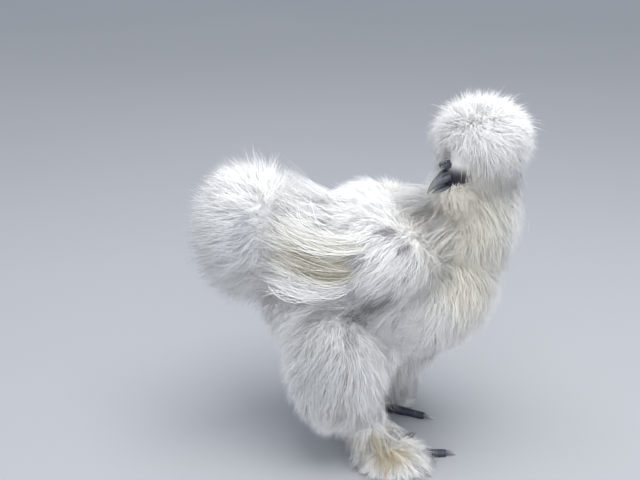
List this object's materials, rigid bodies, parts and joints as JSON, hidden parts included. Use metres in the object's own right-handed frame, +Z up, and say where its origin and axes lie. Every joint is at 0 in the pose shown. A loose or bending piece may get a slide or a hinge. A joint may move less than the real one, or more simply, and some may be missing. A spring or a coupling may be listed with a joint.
{
  "type": "silkie chicken",
  "caption": "Life-size still model of a white silkie hen standing with its head turned back, with crest, muff, loose wings, pompom tail and feathered feet.",
  "frame": {"origin": "on the floor, at the middle of the bird's bounding box", "axes": "+X the way the body faces, +Y to the bird's left, +Z up from the floor"},
  "size_m": [0.2338, 0.142, 0.2632],
  "materials": {
    "plumage": "long loose white down feathers",
    "wing_plumage": "stringy off-white wing feathers with mauve-grey shading",
    "bib_plumage": "cream-grey down of the muff and bib",
    "face_skin": "dark mulberry skin, finely wrinkled",
    "horn": "slate horn, satin, paler at the tip",
    "toe_scales": "slate scutes on the toes",
    "claw_horn": "grey horn claws",
    "eye": "wet, near-black eye"
  },
  "bodies": {
    "root": {"beard": "bib_plumage", "claw_left_fifth": "claw_horn", "claw_left_hind": "claw_horn", "claw_left_inner": "claw_horn", "claw_left_middle": "claw_horn", "claw_left_outer": "claw_horn", "claw_right_fifth": "claw_horn", "claw_right_hind": "claw_horn", "claw_right_inner": "claw_horn", "claw_right_middle": "claw_horn", "claw_right_outer": "claw_horn", "comb": "face_skin", "crest": "plumage", "eye_left": "eye", "eye_right": "eye", "foot_left": "toe_scales", "foot_right": "toe_scales", "head": "face_skin", "lower_bill": "horn", "neck": "plumage", "shank_left": "plumage", "shank_right": "plumage", "tail": "plumage", "thigh_left": "plumage", "thigh_right": "plumage", "torso": "plumage", "upper_bill": "horn", "wing_left": "wing_plumage", "wing_right": "wing_plumage"}
  },
  "joints": []
}
